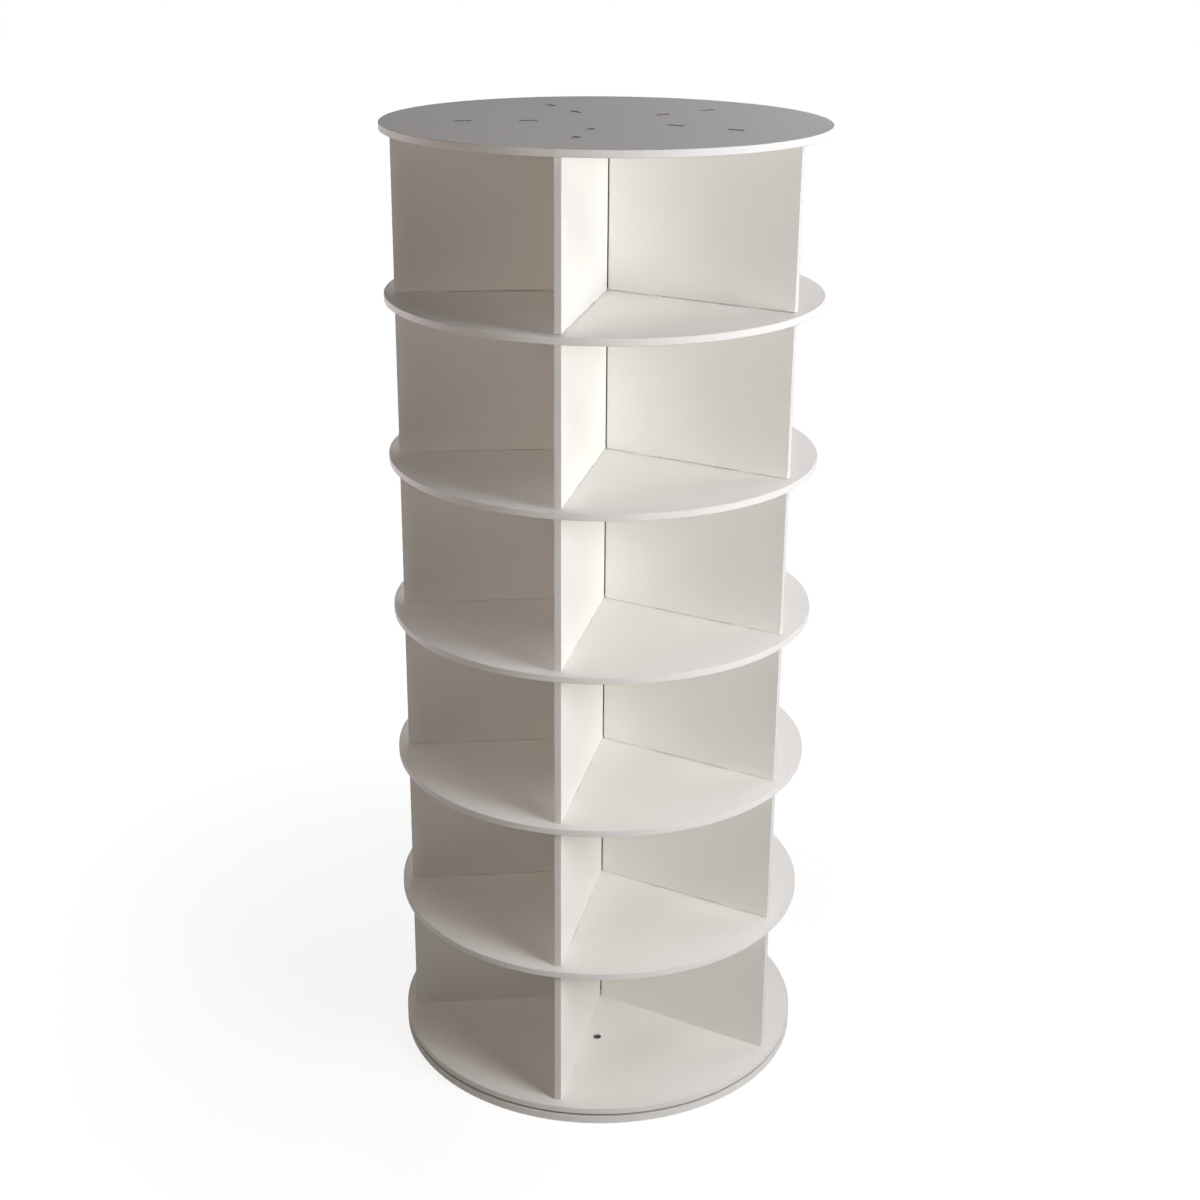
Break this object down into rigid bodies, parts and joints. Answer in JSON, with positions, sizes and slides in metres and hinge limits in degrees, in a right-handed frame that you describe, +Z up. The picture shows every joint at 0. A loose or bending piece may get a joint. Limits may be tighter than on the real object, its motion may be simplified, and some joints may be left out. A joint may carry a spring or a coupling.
{
  "type": "rotating shoe tower",
  "caption": "Round shoe tower: white disc shelves stacked on slotted radial dividers, turning on a ring bearing above a fixed round base board.",
  "frame": {"origin": "on the turning axis, at the floor under the foot pads", "axes": "+Z up along the turning axis. The first divider of every level (letter a) points to -Y, and letters b to e follow it anticlockwise seen from above."},
  "size_m": [0.5, 0.4999, 1.1439],
  "materials": {
    "white_board": "white satin facing",
    "rubber_pad": "matt",
    "ring_aluminium": "turned, satin",
    "cage_nylon": "moulded",
    "ball_steel": "polished",
    "screw_steel": "zinc plated",
    "black_screw": "blackened"
  },
  "bodies": {
    "base": {"foot_pads": "rubber_pad", "base_board": "white_board", "base_screws": "screw_steel", "bearing_outer_ring": "ring_aluminium"},
    "ball_train": {"bearing_cage": "cage_nylon", "bearing_balls": "ball_steel"},
    "tower": {"bearing_inner_ring": "ring_aluminium", "disc_screws": "black_screw", "bottom_disc": "white_board", "shelf_disc_1": "white_board", "shelf_disc_2": "white_board", "shelf_disc_3": "white_board", "shelf_disc_4": "white_board", "shelf_disc_5": "white_board", "top_disc": "white_board", "divider_level1_a": "white_board", "divider_level1_b": "white_board", "divider_level1_c": "white_board", "divider_level1_d": "white_board", "divider_level1_e": "white_board", "divider_level2_a": "white_board", "divider_level2_b": "white_board", "divider_level2_c": "white_board", "divider_level2_d": "white_board", "divider_level2_e": "white_board", "divider_level3_a": "white_board", "divider_level3_b": "white_board", "divider_level3_c": "white_board", "divider_level3_d": "white_board", "divider_level3_e": "white_board", "divider_level4_a": "white_board", "divider_level4_b": "white_board", "divider_level4_c": "white_board", "divider_level4_d": "white_board", "divider_level4_e": "white_board", "divider_level5_a": "white_board", "divider_level5_b": "white_board", "divider_level5_c": "white_board", "divider_level5_d": "white_board", "divider_level5_e": "white_board", "divider_level6_a": "white_board", "divider_level6_b": "white_board", "divider_level6_c": "white_board", "divider_level6_d": "white_board", "divider_level6_e": "white_board"}
  },
  "joints": [
    {"name": "tower_spin", "type": "hinge", "parent": "base", "child": "tower", "pos_m": [0, 0, 0.01], "axis": [0, 0, 1], "continuous": true},
    {"name": "cage_orbit", "type": "hinge", "parent": "base", "child": "ball_train", "pos_m": [0, 0, 0.01], "axis": [0, 0, 1], "continuous": true}
  ],
  "couplings": [
    {"joint": "cage_orbit", "follows": "tower_spin", "ratio": 0.48874}
  ]
}
